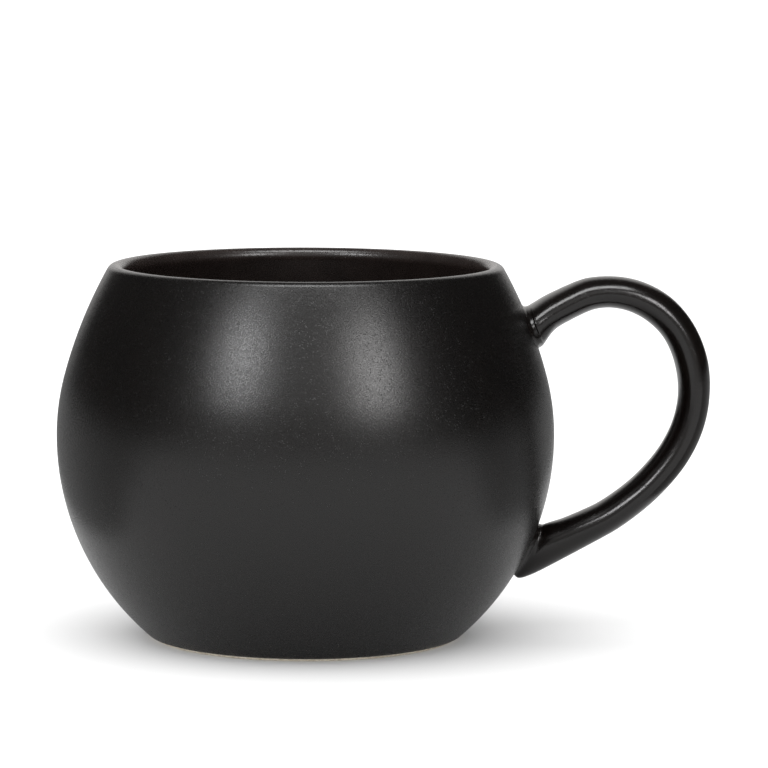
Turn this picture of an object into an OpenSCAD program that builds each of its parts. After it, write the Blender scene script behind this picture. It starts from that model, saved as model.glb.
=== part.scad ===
// Round-bellied stoneware mug with a looped strap handle.
// Millimetres. +Z is up, the handle points along +X, and the origin is the
// centre of the foot ring where the mug stands on the table.

/* [Body] */
// Widest diameter across the glazed belly
body_d = 108; // [100:1:116]
// Height of the glazed lip above the table
body_h = 81; // [78:0.5:83]
// Height of the widest line of the belly
belly_z = 43.8; // [42:0.1:46]
// Radius of the side curve below the widest line
lower_r = 57.2; // [56:0.1:60]
// Radius of the side curve above the widest line
upper_r = 51.1; // [49:0.1:53]
// Height where the belly curve passes into the flatter shoulder
shoulder_z = 57.1; // [54:0.1:60]
// Radius of the shoulder curve
shoulder_r = 101.6; // [90:0.5:110]
// Thickness of the fired clay wall
wall_t = 3; // [2.4:0.1:3.6]
// Height of the clay floor inside the cup
floor_z = 6.5; // [5.5:0.1:9]
// Radius of the sweep from the floor up into the wall
floor_sweep_r = 16; // [10:0.5:20]

/* [Foot] */
// Outside diameter of the bare foot ring
foot_d = 66.8; // [64:0.2:68]
// Height of the bare clay band left at the foot
bare_h = 0.65; // [0.4:0.05:1.2]
// Diameter of the shallow hollow under the base
hollow_d = 56; // [48:0.5:58]
// Depth of the hollow under the base
hollow_h = 2.2; // [1.2:0.1:3]

/* [Glaze] */
// Thickness of the fired glaze coat
glaze_t = 0.35; // [0.25:0.05:0.5]
// Bare margin left round the glazed disc in the hollow
base_margin = 1; // [0.5:0.1:3]

/* [Handle] */
// Thickness of the glazed handle, seen from the side of the mug
handle_d = 7; // [6.4:0.1:7.6]
// Width of the glazed handle across the hand
handle_w = 11.5; // [10:0.5:15]
// Distance from the mug axis to the buried start of the handle line
start_x = 48; // [46:0.1:49]
// Height of the buried start of the handle line
start_z = 67.2; // [65:0.1:69]
// Rise of the handle line at its start, in degrees
start_tilt = 39.3; // [34:0.1:44]
// Radius and turn of the short rise off the shoulder
rise_r = 52.6; // [45:0.1:60]
rise_turn = 11.4; // [8:0.1:14]
// Radius and turn of the tight upper bow
bow_r = 18.5; // [17.5:0.1:19.5]
bow_turn = 97.5; // [92:0.5:102]
// Radius and turn of the grip side
grip_r = 26.2; // [24:0.1:28]
grip_turn = 57.5; // [54:0.5:60]
// Radius and turn of the long sweep back to the belly
tail_r = 49.6; // [46:0.1:54]
tail_turn = 48; // [44:0.5:50]

/* [Joints] */
// Thickness of the slip layer between body and handle
slip_t = 0.5; // [0.3:0.05:0.8]
// How far the slip bead stands out round the handle
bead_w = 1.1; // [0.7:0.1:1.6]
// How far the slip bead climbs from the body along the handle
bead_h = 1.5; // [1:0.1:2.2]

/* [Hidden] */
$fn = 240;
clay = [0.78, 0.7, 0.58];
slip = [0.74, 0.66, 0.55];
black = [0.13, 0.12, 0.12];

// Centres of the three side curves, each [distance from axis, height]
lower_c = [body_d / 2 - lower_r, belly_z];
upper_c = [body_d / 2 - upper_r, belly_z];
shoulder_lean = asin((shoulder_z - belly_z) / upper_r);
shoulder_n = [cos(shoulder_lean), sin(shoulder_lean)];
shoulder_c = upper_c + (upper_r - shoulder_r) * shoulder_n;

// The lip is a full round over clay and both coats
coat_t = wall_t + 2 * glaze_t;
lip_z = body_h - coat_t / 2;
lip_run = shoulder_r - coat_t / 2;
lip_x = shoulder_c[0] + sqrt(lip_run * lip_run - pow(lip_z - shoulder_c[1], 2));

// Handle line: centre of each arc, found from the end of the arc before it
rod_r = handle_d / 2 - glaze_t;
round_off = (handle_w - handle_d) / 2;
arc_r = [rise_r, bow_r, grip_r, tail_r];
arc_turn = [rise_turn, bow_turn, grip_turn, tail_turn];
lap_a = 1;
lap_r = 0.03;
function tilt(i) = i == 0 ? start_tilt : tilt(i - 1) - arc_turn[i - 1];
function right(a) = [sin(a), -cos(a)];
function arc_c(i) = i == 0
  ? [start_x, start_z] + arc_r[0] * right(tilt(0))
  : arc_c(i - 1) + (arc_r[i] - arc_r[i - 1]) * right(tilt(i));

// Height that splits the upper and lower joints
split_z = 45;
reach = 200;

// Half outline of the solid cup shape, set in by d from the glazed surface
module cup_outline(d) {
  turn_z = shoulder_z - d * shoulder_n[1];
  intersection() {
    translate(lower_c)
      circle(lower_r - d);
    square([reach, belly_z]);
  }
  intersection() {
    translate(upper_c)
      circle(upper_r - d);
    translate([0, belly_z])
      square([reach, turn_z - belly_z]);
  }
  intersection() {
    translate(shoulder_c)
      circle(shoulder_r - d);
    translate([0, turn_z])
      square([reach, lip_z - turn_z]);
  }
}

// Half outline of the drinking space, set in by d, with its floor at z0
module cup_space(d, z0) {
  side_r = lower_r - d;
  sweep_z = z0 + floor_sweep_r;
  gap = side_r - floor_sweep_r;
  sweep_x = lower_c[0] + sqrt(gap * gap - pow(belly_z - sweep_z, 2));
  join_z = belly_z - (belly_z - sweep_z) * side_r / gap;
  intersection() {
    cup_outline(d);
    translate([0, join_z])
      square([reach, reach]);
  }
  translate([sweep_x, sweep_z])
    circle(floor_sweep_r);
  translate([0, z0])
    square([sweep_x, floor_sweep_r]);
}

// Outline of the round lip grown over the clay by d
module lip_outline(d) {
  translate([lip_x, lip_z])
    circle(wall_t / 2 + d);
}

// Body of revolution reaching g beyond the clay, used to fit the handle to it
module cup_solid(g) {
  rotate([0, 0, 90])
    rotate_extrude()
      cup_outline(glaze_t - g);
}

// Section of the strap: two rounds of radius r and the flat between them
module strap(r) {
  for (side = [-1, 1])
    translate([0, side * round_off])
      circle(r, $fn = 48);
  square([2 * r, 2 * round_off], center = true);
}

// Round-edged strap along the handle line, 2r thick. Every other arc is a hair
// slimmer and runs a little way into its neighbours, so the arcs fuse.
module rod(r) {
  for (i = [0 : len(arc_r) - 1]) {
    odd = i % 2;
    translate([arc_c(i)[0], 0, arc_c(i)[1]])
      rotate([90, 0, 0])
        rotate([0, 0, tilt(i) + 90 - arc_turn[i] - odd * lap_a])
          rotate_extrude(angle = arc_turn[i] + 2 * odd * lap_a)
            translate([arc_r[i], 0])
              strap(r - odd * lap_r);
  }
}

// Collar of slip hugging the strap: radius r, standing h off the clay body
module collar(r, h) {
  intersection() {
    rod(r);
    cup_solid(h);
  }
}

// One end of the handle: the upper (up) or lower half of the space
module joint_half(up) {
  translate([body_d / 4, -reach / 2, up ? split_z : split_z - reach])
    cube(reach);
}

module slip_joint(up) {
  color(slip)
    difference() {
      intersection() {
        collar(rod_r + bead_w, bead_h);
        joint_half(up);
      }
      cup_solid(0);
      difference() {
        rod(rod_r);
        cup_solid(slip_t);
      }
    }
}

module body() {
  color(clay)
    rotate_extrude() {
      difference() {
        union() {
          intersection() {
            cup_outline(glaze_t);
            translate([0, bare_h])
              square([reach, reach]);
          }
          square([foot_d / 2, bare_h]);
        }
        cup_space(glaze_t + wall_t, floor_z);
        square([hollow_d / 2, hollow_h]);
      }
      lip_outline(0);
    }
}

module handle() {
  color(clay)
    difference() {
      rod(rod_r);
      cup_solid(slip_t);
    }
}

module upper_slip_joint() {
  slip_joint(true);
}

module lower_slip_joint() {
  slip_joint(false);
}

module outer_glaze() {
  color(black)
    difference() {
      rotate_extrude()
        difference() {
          union() {
            cup_outline(0);
            lip_outline(glaze_t);
          }
          cup_outline(glaze_t);
          lip_outline(0);
          square([reach, bare_h]);
          translate([0, belly_z])
            square([lip_x, reach]);
        }
      rod(rod_r + bead_w);
    }
}

module inner_glaze() {
  color(black)
    rotate_extrude()
      difference() {
        union() {
          intersection() {
            cup_space(glaze_t + wall_t, floor_z);
            square([reach, lip_z]);
          }
          lip_outline(glaze_t);
        }
        cup_space(2 * glaze_t + wall_t, floor_z + glaze_t);
        lip_outline(0);
        translate([lip_x, lip_z])
          square([reach, reach]);
      }
}

module handle_glaze() {
  color(black)
    difference() {
      union() {
        rod(rod_r + glaze_t);
        collar(rod_r + bead_w + glaze_t, bead_h + glaze_t);
      }
      rod(rod_r);
      collar(rod_r + bead_w, bead_h);
      cup_solid(glaze_t);
    }
}

module base_glaze() {
  color(black)
    translate([0, 0, hollow_h - glaze_t])
      cylinder(d = hollow_d - 2 * base_margin, h = glaze_t);
}

body();
handle();
upper_slip_joint();
lower_slip_joint();
outer_glaze();
inner_glaze();
handle_glaze();
base_glaze();
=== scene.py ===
from math import asin, atan2, cos, hypot, pi, radians, sin, sqrt

import bmesh
import bpy
from mathutils import Matrix, Vector


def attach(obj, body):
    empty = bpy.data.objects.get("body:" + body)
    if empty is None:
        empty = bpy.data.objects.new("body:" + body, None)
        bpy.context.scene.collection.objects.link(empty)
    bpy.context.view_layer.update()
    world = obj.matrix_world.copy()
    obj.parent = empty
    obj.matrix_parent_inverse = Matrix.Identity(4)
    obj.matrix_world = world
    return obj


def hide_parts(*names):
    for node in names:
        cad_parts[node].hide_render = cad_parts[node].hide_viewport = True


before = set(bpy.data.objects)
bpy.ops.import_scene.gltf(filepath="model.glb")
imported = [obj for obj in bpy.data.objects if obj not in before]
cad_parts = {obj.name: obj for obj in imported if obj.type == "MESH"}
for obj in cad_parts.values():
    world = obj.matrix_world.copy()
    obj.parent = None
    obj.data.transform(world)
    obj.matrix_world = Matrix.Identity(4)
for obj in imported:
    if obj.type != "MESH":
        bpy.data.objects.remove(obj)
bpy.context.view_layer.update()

# ---------------------------------------------------------------- Clay bowl
# The bowl is one piece of cream stoneware with its foot ring, turned on the
# wheel and wiped with a damp sponge before firing. The coats of glaze cover
# all of it except the foot that it stands on.
MM = 0.001
BELLY_R = 53.98
BELLY_Z = 43.8
LOWER_R = 57.2
UPPER_R = 51.1
SHOULDER_Z = 57.1
SHOULDER_R = 101.6
LIP_TOP = 81.0
COAT = 0.35
WALL = 3.0
FLOOR_Z = 6.5
FLOOR_SWEEP_R = 16.0
FOOT_R = 33.4
BARE_H = 0.65
HOLLOW_R = 28.0
HOLLOW_H = 2.2
HOLLOW_ROUND = 0.5
INNER_ROUND = 0.4
OUTER_ROUND = 0.36
TURNS = 240
OUTER_STEPS = 40
INNER_STEPS = 30
UPPER_STEPS = 14
SHOULDER_STEPS = 20

lean = asin((SHOULDER_Z - BELLY_Z) / UPPER_R)
lower_c = (BELLY_R - LOWER_R, BELLY_Z)
upper_c = (BELLY_R - UPPER_R, BELLY_Z)
shoulder_c = (
    upper_c[0] + (UPPER_R - SHOULDER_R) * cos(lean),
    upper_c[1] + (UPPER_R - SHOULDER_R) * sin(lean),
)
lip_r = WALL / 2 + COAT
lip_z = LIP_TOP - lip_r
lip_x = shoulder_c[0] + sqrt((SHOULDER_R - lip_r) ** 2 - (lip_z - shoulder_c[1]) ** 2)
lip_lean = atan2(lip_z - shoulder_c[1], lip_x - shoulder_c[0])


def point(bm, r, z):
    return bm.verts.new((r * MM, 0, z * MM))


def line_to(bm, v, r, z):
    new = bmesh.ops.extrude_vert_indiv(bm, verts=[v])["verts"][0]
    new.co = (r * MM, 0, z * MM)
    return new


def arc_to(bm, v, centre, turn, steps):
    # A positive turn goes from +Z towards +X, so it runs down the outside.
    made = bmesh.ops.spin(
        bm,
        geom=[v],
        cent=(centre[0] * MM, 0, centre[1] * MM),
        axis=(0, 1, 0),
        angle=turn,
        steps=steps,
        use_duplicate=False,
    )
    return next(g for g in made["geom_last"] if isinstance(g, bmesh.types.BMVert))


def turn_on_wheel(bm):
    bmesh.ops.remove_doubles(bm, verts=bm.verts[:], dist=1e-6)
    bmesh.ops.spin(
        bm,
        geom=bm.verts[:] + bm.edges[:],
        cent=(0, 0, 0),
        axis=(0, 0, 1),
        angle=2 * pi,
        steps=TURNS,
        use_merge=True,
        use_duplicate=False,
    )
    bmesh.ops.remove_doubles(bm, verts=bm.verts[:], dist=1e-6)
    bmesh.ops.recalc_face_normals(bm, faces=bm.faces[:])


def up_the_side(bm, v, start_angle, fineness=1.0):
    # From start_angle on the lower curve up to the lip.
    v = arc_to(bm, v, lower_c, start_angle, round(OUTER_STEPS * fineness))
    v = arc_to(bm, v, upper_c, -lean, round(UPPER_STEPS * fineness))
    turn = lean - lip_lean
    return arc_to(bm, v, shoulder_c, turn, round(SHOULDER_STEPS * fineness))


def down_the_side(bm, v, end_angle, fineness=1.0):
    # From the lip down to end_angle on the lower curve.
    turn = lip_lean - lean
    v = arc_to(bm, v, shoulder_c, turn, round(SHOULDER_STEPS * fineness))
    v = arc_to(bm, v, upper_c, lean, round(UPPER_STEPS * fineness))
    return arc_to(bm, v, lower_c, -end_angle, round(INNER_STEPS * fineness))


def on_lower(radius, z):
    # Angle below level, as a negative number, where a lower curve reaches z.
    return asin((z - BELLY_Z) / radius)


def floor_sweep(d, floor_z):
    # Centre of the arc between floor and wall, and the angle where they join.
    run = LOWER_R - d - FLOOR_SWEEP_R
    z = floor_z + FLOOR_SWEEP_R
    x = lower_c[0] + sqrt(run * run - (BELLY_Z - z) ** 2)
    return (x, z), atan2(z - BELLY_Z, x - lower_c[0])


def finish_piece(name, bm, material, nodes, sharp=40):
    for e in bm.edges:
        e.smooth = e.calc_face_angle(0) < radians(sharp)
    for f in bm.faces:
        f.smooth = True
    mesh = bpy.data.meshes.new(name)
    bm.to_mesh(mesh)
    bm.free()
    mesh.materials.append(material)
    piece = bpy.data.objects.new(name, mesh)
    bpy.context.scene.collection.objects.link(piece)
    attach(piece, "root")
    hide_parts(*nodes)
    return piece


class Recipe:
    # A material's nodes, wired one after another.
    def __init__(self, name):
        self.material = bpy.data.materials.new(name)
        self.material.use_nodes = True
        self.nodes = self.material.node_tree.nodes
        self.links = self.material.node_tree.links
        self.shader = self.nodes["Principled BSDF"]
        self.place = self.nodes.new("ShaderNodeTexCoord").outputs["Object"]

    def add(self, kind, inputs=None, **settings):
        node = self.nodes.new("ShaderNode" + kind)
        for key, value in settings.items():
            setattr(node, key, value)
        for key, value in (inputs or {}).items():
            self.feed(node.inputs[key], value)
        return node

    def feed(self, socket, value):
        if isinstance(value, bpy.types.NodeSocket):
            self.links.new(value, socket)
        else:
            socket.default_value = value

    def noise(self, per_mm, detail=2.0, rough=0.5):
        return self.add(
            "TexNoise",
            {
                "Vector": self.place,
                "Scale": per_mm / MM,
                "Detail": detail,
                "Roughness": rough,
            },
        ).outputs["Fac"]

    def ramp(self, fac, stops):
        node = self.add("ValToRGB", {"Fac": fac})
        while len(node.color_ramp.elements) < len(stops):
            node.color_ramp.elements.new(0.5)
        for element, (at, colour) in zip(node.color_ramp.elements, stops):
            element.position = at
            element.color = (*colour, 1)
        return node.outputs["Color"]

    def spots(self, per_mm, low, high):
        # Round marks: 1 in the middle of each, falling to 0 past high.
        cells = self.add(
            "TexVoronoi", {"Vector": self.place, "Scale": per_mm / MM}
        )
        return self.add(
            "MapRange",
            {
                "Value": cells.outputs["Distance"],
                "From Min": high,
                "From Max": low,
            },
            interpolation_type="SMOOTHSTEP",
        ).outputs["Result"]

    def bump(self, height, depth, under=None):
        inputs = {"Height": height, "Distance": depth, "Strength": 1.0}
        if under is not None:
            inputs["Normal"] = under
        return self.add("Bump", inputs).outputs["Normal"]


clay = Recipe("cream_stoneware")
grog = clay.noise(1.4, 6, 0.62)
clay.feed(
    clay.shader.inputs["Base Color"],
    clay.ramp(
        grog,
        [
            (0.30, (0.52, 0.45, 0.35)),
            (0.50, (0.72, 0.66, 0.56)),
            (0.72, (0.84, 0.80, 0.72)),
        ],
    ),
)
clay.shader.inputs["Roughness"].default_value = 0.88
clay.shader.inputs["IOR"].default_value = 1.45
clay.feed(clay.shader.inputs["Normal"], clay.bump(grog, 0.00006))

bowl = bmesh.new()
bottom = on_lower(LOWER_R - COAT, BARE_H)
clay_r = LOWER_R - COAT
v = point(bowl, 0, HOLLOW_H)
v = line_to(bowl, v, HOLLOW_R - HOLLOW_ROUND, HOLLOW_H)
round_c = (HOLLOW_R - HOLLOW_ROUND, HOLLOW_H - HOLLOW_ROUND)
v = arc_to(bowl, v, round_c, radians(90), 6)
v = line_to(bowl, v, HOLLOW_R, INNER_ROUND)
v = arc_to(bowl, v, (HOLLOW_R + INNER_ROUND, INNER_ROUND), radians(-90), 6)
v = line_to(bowl, v, FOOT_R - OUTER_ROUND, 0)
v = arc_to(bowl, v, (FOOT_R - OUTER_ROUND, OUTER_ROUND), radians(-80), 8)
v = line_to(bowl, v, lower_c[0] + clay_r * cos(bottom), BARE_H)
v = up_the_side(bowl, v, bottom)
v = arc_to(bowl, v, (lip_x, lip_z), -pi, 32)
sweep_c, sweep_a = floor_sweep(COAT + WALL, FLOOR_Z)
v = down_the_side(bowl, v, sweep_a)
v = arc_to(bowl, v, sweep_c, radians(90) + sweep_a, 14)
v = line_to(bowl, v, 0, FLOOR_Z)
turn_on_wheel(bowl)
finish_piece("clay_bowl", bowl, clay.material, ["body"])

# -------------------------------------------------------------- Outer glaze
# A satin black coat, dipped and fired. It starts in a rolled edge just above
# the foot, and runs up the side and over the outer half of the lip. Its skin
# has fine pinholes and a grain that breaks up the gloss.


def satin_black(name, tone, gloss, grain, pits):
    glaze = Recipe(name)
    cloud = glaze.noise(0.16, 3, 0.55)
    skin = glaze.noise(3.3, 3, 0.55)
    holes = glaze.spots(2.0, 0.04, 0.30)
    few = glaze.ramp(glaze.noise(0.5, 2), [(0.36, (0, 0, 0)), (0.58, (1, 1, 1))])
    pinholes = glaze.add(
        "Math", {0: holes, 1: few}, operation="MULTIPLY"
    ).outputs[0]
    depth = glaze.add(
        "Math", {0: pinholes, 1: -pits}, operation="MULTIPLY"
    ).outputs[0]
    height = glaze.add(
        "Math", {0: skin, 1: 1.0, 2: depth}, operation="MULTIPLY_ADD"
    ).outputs[0]
    glaze.feed(
        glaze.shader.inputs["Base Color"],
        glaze.ramp(
            cloud,
            [
                (0.30, tuple(c * 0.8 for c in tone)),
                (0.70, tuple(c * 1.3 for c in tone)),
            ],
        ),
    )
    glaze.feed(
        glaze.shader.inputs["Roughness"],
        glaze.add(
            "MapRange",
            {
                "Value": skin,
                "From Min": 0.3,
                "From Max": 0.7,
                "To Min": gloss - 0.05,
                "To Max": gloss + 0.05,
            },
        ).outputs["Result"],
    )
    glaze.shader.inputs["IOR"].default_value = 1.5
    wave = glaze.bump(glaze.noise(0.09, 2), 0.00005)
    glaze.feed(glaze.shader.inputs["Normal"], glaze.bump(height, grain, wave))
    return glaze.material


outside = satin_black(
    "satin_black_glaze",
    tone=(0.0014, 0.0009, 0.0007),
    gloss=0.285,
    grain=0.000032,
    pits=1.3,
)

coat = bmesh.new()
roll = COAT / 2
edge = on_lower(LOWER_R - roll, BARE_H + roll)
v = point(
    coat,
    lower_c[0] + (LOWER_R - COAT) * cos(edge),
    lower_c[1] + (LOWER_R - COAT) * sin(edge),
)
roll_c = (
    lower_c[0] + (LOWER_R - roll) * cos(edge),
    lower_c[1] + (LOWER_R - roll) * sin(edge),
)
v = arc_to(coat, v, roll_c, -pi, 8)
v = up_the_side(coat, v, edge, 1.2)
v = arc_to(coat, v, (lip_x, lip_z), lip_lean - pi / 2, 24)
v = line_to(coat, v, lip_x, lip_z + WALL / 2)
v = arc_to(coat, v, (lip_x, lip_z), pi / 2 - lip_lean, 12)
v = down_the_side(coat, v, edge, 0.6)
turn_on_wheel(coat)
finish_piece("outer_glaze_coat", coat, outside, ["outer_glaze"])

# -------------------------------------------------------------- Inner glaze
# The liner is poured in and out before the outside is dipped, so it is one
# even coat from the top of the lip down the wall and across the floor. The
# liner is the same black glaze, but its tone is set much lighter and browner
# than the outer glaze's: this is painted light inside the cup.
# The lighter, brownish tone here is painted light inside the cup, not a different glaze
# colour.
liner_painted_light_glaze = satin_black(
    "liner_glaze", tone=(0.0160, 0.0115, 0.0102), gloss=0.26, grain=0.000026, pits=1.3
)

liner = bmesh.new()
v = point(liner, lip_x, LIP_TOP)
v = arc_to(liner, v, (lip_x, lip_z), -(pi / 2 + lip_lean), 44)
sweep_c, sweep_a = floor_sweep(2 * COAT + WALL, FLOOR_Z + COAT)
v = down_the_side(liner, v, sweep_a, 1.2)
v = arc_to(liner, v, sweep_c, radians(90) + sweep_a, 20)
v = line_to(liner, v, 0, FLOOR_Z + COAT)
w = point(liner, lip_x, LIP_TOP)
w = line_to(liner, w, lip_x, lip_z + WALL / 2)
w = arc_to(liner, w, (lip_x, lip_z), -(pi / 2 + lip_lean), 22)
sweep_c, sweep_a = floor_sweep(COAT + WALL, FLOOR_Z)
w = down_the_side(liner, w, sweep_a, 0.6)
w = arc_to(liner, w, sweep_c, radians(90) + sweep_a, 10)
w = line_to(liner, w, 0, FLOOR_Z)
turn_on_wheel(liner)
finish_piece("liner_glaze_coat", liner, liner_painted_light_glaze, ["inner_glaze"])

# ------------------------------------------------------------- Handle glaze
# The handle is a strap, wide at the top and narrower below, and its coat runs
# on over both joints. Each end swells where the clay was pressed on, with a
# groove under its edge and a bead of slip smoothed down on to the body.
handle_skin = satin_black(
    "handle_glaze", tone=(0.0024, 0.0015, 0.0012), gloss=0.19, grain=0.000014, pits=1.6
)

START = (48.0, 67.2)
START_TILT = 39.3
BENDS = [(52.6, 11.4), (18.5, 97.5), (26.2, 57.5), (49.6, 60.0)]
# Along the handle: distance, then half thickness on its outer and inner side
SWELL = [
    (0, 3.70, 3.66),
    (5, 3.60, 3.57),
    (10, 3.50, 3.48),
    (14, 3.55, 3.56),
    (19, 3.42, 3.38),
    (25, 3.58, 3.46),
    (32, 3.70, 3.60),
    (37, 3.57, 3.57),
    (41, 3.56, 3.62),
    (46, 3.66, 3.55),
    (52, 3.50, 3.42),
    (58, 3.48, 3.43),
    (64, 3.42, 3.52),
    (70, 3.50, 3.44),
    (76, 3.50, 3.40),
    (82, 3.47, 3.54),
    (88, 3.57, 3.61),
    (91, 3.74, 3.73),
    (93.5, 3.93, 3.82),
    (96, 4.22, 3.92),
    (98.5, 4.62, 3.98),
    (101, 5.14, 4.05),
    (103.5, 5.78, 4.12),
    (106, 6.45, 4.20),
    (109, 7.10, 4.30),
    (116, 7.80, 4.50),
]

# Along the handle: distance, then half of its width across the hand
SPREAD = [
    (-6, 9.2),
    (-2, 8.7),
    (2, 8.0),
    (6, 7.2),
    (12, 6.2),
    (18, 5.6),
    (25, 5.4),
    (37, 5.4),
    (50, 5.7),
    (75, 5.8),
    (90, 5.4),
    (100, 5.0),
    (116, 4.6),
]


def along_handle(s):
    # Point on the handle's middle line, and the way it runs there.
    x, z = START
    tilt = radians(START_TILT)
    for radius, turn in BENDS:
        a = min(s / radius, radians(turn))
        x += radius * (sin(tilt) - sin(tilt - a))
        z += radius * (cos(tilt - a) - cos(tilt))
        tilt -= a
        s -= radius * radians(turn)
        if s <= 0:
            break
    return x, z, tilt


def read_off(table, s):
    # The row of a table at a distance along the handle.
    for (s0, *row0), (s1, *row1) in zip(table, table[1:]):
        if s <= s1:
            t = (s - s0) / (s1 - s0)
            return [a + (b - a) * t for a, b in zip(row0, row1)]
    return table[-1][1:]


def skin_point(s, phi, under=0.0):
    x, z, tilt = along_handle(s)
    outer, inner = read_off(SWELL, s)
    (wide,) = read_off(SPREAD, s)
    across = cos(phi) * ((outer if cos(phi) > 0 else inner) - under)
    return Vector(
        (
            x - sin(tilt) * across,
            sin(phi) * (wide - under),
            z + cos(tilt) * across,
        )
    )


def off_body(p):
    # Height of a point above the glazed body, and the way straight off it.
    r = hypot(p.x, p.y)
    if p.z < BELLY_Z:
        c, radius = lower_c, LOWER_R
    elif atan2(p.z - upper_c[1], r - upper_c[0]) < lean:
        c, radius = upper_c, UPPER_R
    else:
        c, radius = shoulder_c, SHOULDER_R
    far = hypot(r - c[0], p.z - c[1])
    out = (r - c[0]) / far
    return far - radius, Vector((p.x / r * out, p.y / r * out, (p.z - c[1]) / far))


def joint_point(phi, height, stand, near, far):
    # Point at a height over the body on one line of the skin, moved out
    # along the body by stand.
    for _ in range(40):
        mid = (near + far) / 2
        if off_body(skin_point(mid, phi))[0] < height:
            near = mid
        else:
            far = mid
    p = skin_point(near, phi)
    x, z, _ = along_handle(near)
    up = off_body(p)[1]
    away = p - Vector((x, 0, z))
    away -= up * away.dot(up)
    return p + away.normalized() * stand


# At each joint: height over the body, then how far the skin stands out from
# the plain handle on its outer side, on its two flanks, and on its inner side
TOP_JOINT = [
    (-0.60, 1.60, 1.50, 1.60),
    (-0.15, 1.42, 1.20, 1.50),
    (0.03, 1.06, 0.98, 1.42),
    (0.12, 0.80, 0.84, 1.36),
    (0.26, 0.55, 0.60, 1.38),
    (0.48, 0.36, 0.22, 1.46),
    (0.80, 0.22, 0.01, 1.50),
    (1.08, 0.14, -0.05, 1.48),
    (1.22, 0.10, -0.12, 1.44),
    (1.32, 0.08, -0.16, 1.41),
    (1.42, 0.07, -0.04, 1.38),
    (1.54, 0.05, 0.18, 1.32),
    (1.80, 0.03, 0.27, 1.22),
    (2.20, 0.02, 0.28, 1.05),
    (2.80, 0.00, 0.22, 0.78),
    (3.60, 0.00, 0.13, 0.47),
    (4.60, 0.00, 0.06, 0.20),
    (6.00, 0.00, 0.00, 0.04),
]
LOW_JOINT = [
    (-0.60, -3.00, 1.00, 0.80),
    (-0.12, -2.30, 0.82, 0.68),
    (0.06, -2.10, 0.68, 0.52),
    (0.20, -1.98, 0.54, 0.38),
    (0.40, -1.80, 0.34, 0.28),
    (0.62, -1.58, 0.08, 0.20),
    (0.84, -1.30, -0.18, 0.08),
    (1.02, -1.06, -0.36, -0.04),
    (1.22, -0.80, -0.47, -0.08),
    (1.50, -0.48, -0.52, -0.04),
    (1.85, -0.22, -0.46, 0.02),
    (2.30, -0.06, -0.30, 0.06),
    (3.00, 0.00, -0.10, 0.06),
    (4.00, 0.00, 0.04, 0.03),
    (5.30, 0.00, 0.03, 0.00),
]
# Where along the handle each joint's skin is looked for, from the buried end
TOP_REACH = (-6, 16)
LOW_REACH = (116, 84)
PLAIN = range(14, 90, 2)
TIP_DRAW = 2.6
SIDES = 64
around = [2 * pi * k / SIDES for k in range(SIDES)]


def joint_ring(step, near, far, under=0.0):
    # A ring laid under the skin drops by that much and draws in at the tip.
    height, outer, flank, inner = step
    ring = []
    for a in around:
        side = outer - TIP_DRAW * under if cos(a) > 0 else inner
        stand = side * cos(a) ** 2 + flank * sin(a) ** 2 - under
        ring.append(joint_point(a, height - under, stand, near, far))
    return ring


def loft(bm, rings, capped=False):
    # Draws the first ring, then pulls its edge out to each next ring in turn.
    loop = bmesh.ops.create_circle(
        bm, segments=SIDES, radius=MM, cap_ends=capped
    )["verts"]
    for n, ring in enumerate(rings):
        if n:
            rim = set(loop)
            edges = {
                e for v in loop for e in v.link_edges if e.other_vert(v) in rim
            }
            made = bmesh.ops.extrude_edge_only(bm, edges=list(edges))["geom"]
            new = {g for g in made if isinstance(g, bmesh.types.BMVert)}
            loop = [
                next(e.other_vert(v) for e in v.link_edges if e.other_vert(v) in new)
                for v in loop
            ]
        for v, p in zip(loop, ring):
            v.co = p * MM
    if capped:
        rim = set(loop)
        edges = {e for v in loop for e in v.link_edges if e.other_vert(v) in rim}
        bmesh.ops.edgeloop_fill(bm, edges=list(edges))
    bmesh.ops.recalc_face_normals(bm, faces=bm.faces[:])


rings = [joint_ring(step, *TOP_REACH) for step in TOP_JOINT]
rings += [[skin_point(k, a) for a in around] for k in PLAIN]
rings += [joint_ring(step, *LOW_REACH) for step in reversed(LOW_JOINT)]

grip = bmesh.new()
loft(grip, rings)
outermost = max(grip.faces, key=lambda f: f.calc_center_median().x)
if outermost.normal.x < 0:
    bmesh.ops.reverse_faces(grip, faces=grip.faces[:])
grip_piece = finish_piece(
    "handle_glaze_coat", grip, handle_skin, ["handle_glaze"], 180
)
finer = grip_piece.modifiers.new("smooth", "SUBSURF")
finer.levels = finer.render_levels = 1
skin = grip_piece.modifiers.new("coat_thickness", "SOLIDIFY")
skin.thickness = COAT * MM
skin.offset = -1

# --------------------------------------------------------------- Clay handle
# Under its glaze the handle is a pulled strap of the same clay as the bowl,
# bent to its curve while soft, with both ends cut to sit on the body.
SLIP_T = 0.5
POOLED = 0.6  # how deep the clay lies where the glaze pools round the joints
TOP_END = (SLIP_T, 0.0, -0.35, 0.8)
LOW_END = (SLIP_T, -1.9, -0.6, 0.0)

strap = bmesh.new()
rings = [joint_ring(step, *TOP_REACH, POOLED) for step in (TOP_END, *TOP_JOINT[9:])]
rings += [[skin_point(k, a, COAT) for a in around] for k in PLAIN]
rings += [
    joint_ring(step, *LOW_REACH, POOLED) for step in (*reversed(LOW_JOINT[8:]), LOW_END)
]
loft(strap, rings, capped=True)
finish_piece("clay_handle", strap, clay.material, ["handle"])

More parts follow.
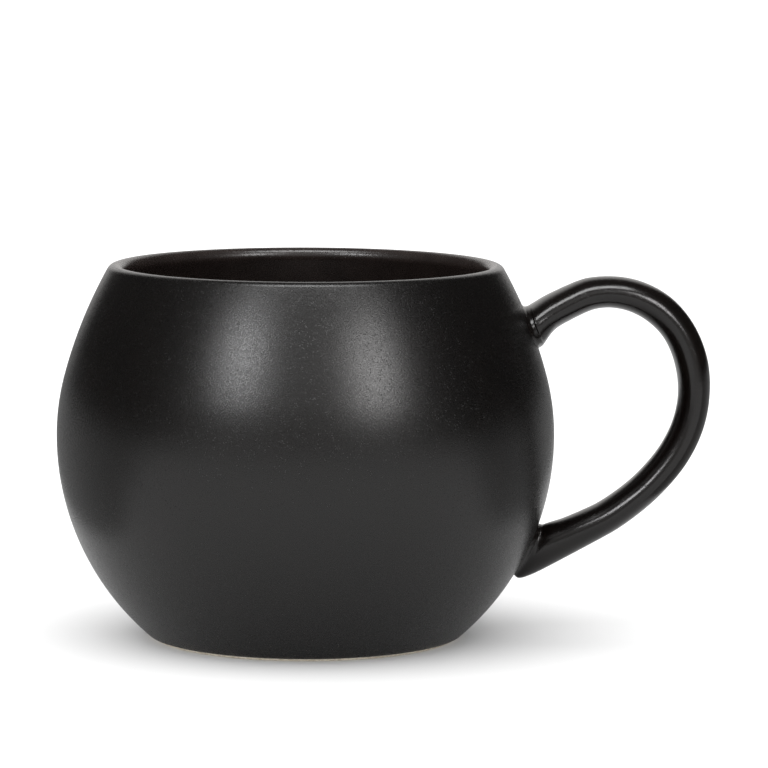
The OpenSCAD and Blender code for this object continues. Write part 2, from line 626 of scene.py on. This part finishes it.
# -------------------------------------------------------------- Joining slip
# Each end of the handle was scored, wetted with slip and pressed on while the
# clay was leather-hard. The slip that squeezed out was wiped round into a cup
# that holds the end, and the glaze lies over it.
wet_slip = Recipe("joining_slip")
slip_grain = wet_slip.noise(2.6, 4, 0.5)
wet_slip.feed(
    wet_slip.shader.inputs["Base Color"],
    wet_slip.ramp(
        slip_grain, [(0.35, (0.44, 0.35, 0.25)), (0.70, (0.58, 0.48, 0.36))]
    ),
)
wet_slip.shader.inputs["Roughness"].default_value = 0.92
wet_slip.feed(wet_slip.shader.inputs["Normal"], wet_slip.bump(slip_grain, 0.00004))

CUP_WALL = 0.3
CUP_FLANK = 0.7
for name, node, steps, reach in (
    ("upper_slip_cup", "upper_slip_joint", TOP_JOINT[2:8], TOP_REACH),
    ("lower_slip_cup", "lower_slip_joint", LOW_JOINT[2:7], LOW_REACH),
):
    cup = bmesh.new()
    rings = [joint_ring(step, *reach, POOLED) for step in steps]
    rings += [
        joint_ring(
            (height, min(outer, 0) - CUP_WALL, -CUP_FLANK, 0), *reach, POOLED
        )
        for height, outer, _, _ in reversed(steps)
        if height > SLIP_T
    ]
    loft(cup, rings, capped=True)
    finish_piece(name, cup, wet_slip.material, [node])

# --------------------------------------------------------------- Base glaze
# A disc of the black glaze is brushed into the hollow under the base, and
# stops short of the foot ring so that the mug doesn't stick to the kiln shelf.
DISC_R = 27.0
brushed = satin_black(
    "base_glaze", tone=(0.0045, 0.0032, 0.0028), gloss=0.36, grain=0.000040, pits=1.5
)

disc = bmesh.new()
v = point(disc, 0, HOLLOW_H)
v = line_to(disc, v, DISC_R - 0.3, HOLLOW_H)
v = line_to(disc, v, DISC_R, HOLLOW_H - 0.02)
v = arc_to(disc, v, (DISC_R - 0.33, HOLLOW_H - 0.02), radians(90), 8)
v = line_to(disc, v, 0, HOLLOW_H - COAT)
turn_on_wheel(disc)
finish_piece("base_glaze_disc", disc, brushed, ["base_glaze"])

# -------------------------------------------------------------------- Table
# The mug stands on a sheet of matt white paper, cut narrow beside the mug so
# that its sides don't glare, over a white studio floor out to the walls.
SHEET = [
    (-1.5, -1.3),
    (1.5, -1.3),
    (0.9, -0.22),
    (0.098, -0.02),
    (0.80, 5.0),
    (-0.60, 5.0),
    (-0.085, -0.02),
    (-0.9, -0.22),
]
FAR = 14
UNDER_PAPER = 0.00002


def studio_white(name, in_gloss):
    # Reads full white to the eye, and duller in the mug's own gloss.
    white = Recipe(name)
    ray = white.add("LightPath").outputs["Is Glossy Ray"]
    white.feed(
        white.shader.inputs["Base Color"],
        white.ramp(ray, [(0.0, (0.8, 0.8, 0.8)), (1.0, (in_gloss,) * 3)]),
    )
    white.shader.inputs["Roughness"].default_value = 0.9
    white.shader.inputs["Specular IOR Level"].default_value = 0.0
    return white.material


def laid_flat(name, corners, height, finish):
    bm = bmesh.new()
    bm.faces.new([bm.verts.new((x, y, height)) for x, y in corners])
    mesh = bpy.data.meshes.new(name)
    bm.to_mesh(mesh)
    bm.free()
    mesh.materials.append(finish)
    sheet = bpy.data.objects.new(name, mesh)
    bpy.context.scene.collection.objects.link(sheet)


laid_flat("paper_sheet", SHEET, 0.0, studio_white("white_paper", 0.50))
laid_flat(
    "studio_floor",
    [(-FAR, -FAR), (FAR, -FAR), (FAR, FAR), (-FAR, FAR)],
    -UNDER_PAPER,
    studio_white("white_floor", 0.19),
)

# ------------------------------------------------------------ Studio lights
# A white tent lights the mug and the paper, mostly from above. Two softboxes
# and a faint wide panel in front, and a panel overhead, give the highlights in
# the glaze. A white card stands behind, and the room at the sides is dark.
DARK = 0.02
FRONT = 0.45
FRONT_FADE = (-0.1, -0.95)
CARD_SIDES = (0.46, 0.26)
CARD_BACK = (0.0, 0.15)
CARD_TOP = (0.78, 0.50)
CARD_GLOW = 1.0
TENT_AIM = (-0.30, -0.30, 1.0)
TENT_FADE = (-0.4, 1.0)
TENT_LOW = 0.70
TENT_HIGH = 2.15
SEEN_WHITE = 1.05
world = bpy.data.worlds.new("studio")
bpy.context.scene.world = world
world.use_nodes = True
sky = world.node_tree
sky.nodes.clear()


def sky_node(kind, inputs=None, **settings):
    node = sky.nodes.new("ShaderNode" + kind)
    for key, value in settings.items():
        setattr(node, key, value)
    for key, value in (inputs or {}).items():
        if isinstance(value, bpy.types.NodeSocket):
            sky.links.new(value, node.inputs[key])
        else:
            node.inputs[key].default_value = value
    return node


way = sky_node("TexCoord").outputs["Generated"]
xyz = sky_node("SeparateXYZ", {"Vector": way})


def between(value, fade, low=0.0, high=1.0):
    start, end = fade
    return sky_node(
        "MapRange",
        {
            "Value": value,
            "From Min": start,
            "From Max": end,
            "To Min": low,
            "To Max": high,
        },
        interpolation_type="SMOOTHSTEP",
    ).outputs["Result"]


def times(a, b):
    return sky_node("Math", {0: a, 1: b}, operation="MULTIPLY").outputs[0]


side = sky_node("Math", {0: xyz.outputs["X"]}, operation="ABSOLUTE").outputs[0]
card = times(between(side, CARD_SIDES), between(xyz.outputs["Y"], CARD_BACK))
card = times(card, between(xyz.outputs["Z"], CARD_TOP))
front = between(xyz.outputs["Y"], FRONT_FADE, DARK, FRONT)
walls = sky_node(
    "Math", {0: card, 1: CARD_GLOW, 2: front}, operation="MULTIPLY_ADD"
).outputs[0]
roof = sky_node(
    "VectorMath",
    {0: way, 1: Vector(TENT_AIM).normalized()},
    operation="DOT_PRODUCT",
).outputs["Value"]
glow = between(roof, TENT_FADE, TENT_LOW, TENT_HIGH)
# The glaze reflects the room, everything else is lit by the tent, and the
# background is seen as plain white.
ray = sky_node("LightPath")
room = sky_node("Background", {"Color": (1, 0.98, 0.96, 1), "Strength": walls})
tent = sky_node("Background", {"Color": (1, 1, 1, 1), "Strength": glow})
white = sky_node("Background", {"Color": (1, 1, 1, 1), "Strength": SEEN_WHITE})
lit = sky_node(
    "MixShader",
    {0: ray.outputs["Is Glossy Ray"], 1: tent.outputs[0], 2: room.outputs[0]},
)
seen = sky_node(
    "MixShader",
    {0: ray.outputs["Is Camera Ray"], 1: lit.outputs[0], 2: white.outputs[0]},
)
sky_node("OutputWorld", {"Surface": seen.outputs[0]})


def softbox(name, azimuth, elevation, width, height, glow, tint, away=1.5):
    # Azimuth is measured from the front towards +X. A softbox shows only in
    # the gloss: it isn't seen itself, and leaves the lighting to the tent.
    a, e = radians(azimuth), radians(elevation)
    lamp = bpy.data.lights.new(name, "AREA")
    lamp.shape = "RECTANGLE"
    lamp.size = 2 * away * sin(radians(width / 2))
    lamp.size_y = 2 * away * sin(radians(height / 2))
    lamp.energy = glow * pi * lamp.size * lamp.size_y
    lamp.color = tint
    box = bpy.data.objects.new(name, lamp)
    bpy.context.scene.collection.objects.link(box)
    back = Vector((sin(a) * cos(e), -cos(a) * cos(e), sin(e)))
    box.location = Vector((0, 0, 0.06)) + back * away
    box.rotation_mode = "QUATERNION"
    box.rotation_quaternion = back.to_track_quat("Z", "Y")
    box.visible_camera = False
    box.visible_diffuse = False


softbox("left_softbox", -34, 32.0, 15, 19, 12.0, (0.985, 0.985, 1.0))
softbox("right_softbox", 34.5, 28.5, 17, 23, 9.3, (1.0, 0.985, 0.985))
softbox("front_panel", 0, 34, 44, 28, 0.35, (1.0, 1.0, 1.0), 1.8)
softbox("top_panel", 0, 72, 46, 20, 8.5, (1.0, 1.0, 1.0), 1.6)

# ------------------------------------------------------------------- Camera
# A long lens a little above the lip, looking slightly down at the mug.
LENS = 195.79
EYE_AT = (0, -0.9, 0.16303)
PAN = -1.08
DIP = 6.8505
ROLL = 0.2525
camera = bpy.data.cameras.new("camera")
camera.sensor_width = 36
camera.lens = LENS
camera.clip_start = 0.05
camera.clip_end = 50
eye = bpy.data.objects.new("camera", camera)
bpy.context.scene.collection.objects.link(eye)
eye.matrix_world = (
    Matrix.Translation(EYE_AT)
    @ Matrix.Rotation(radians(PAN), 4, "Z")
    @ Matrix.Rotation(radians(90 - DIP), 4, "X")
    @ Matrix.Rotation(radians(ROLL), 4, "Z")
)
bpy.context.scene.camera = eye
bpy.context.scene.view_settings.view_transform = "Standard"
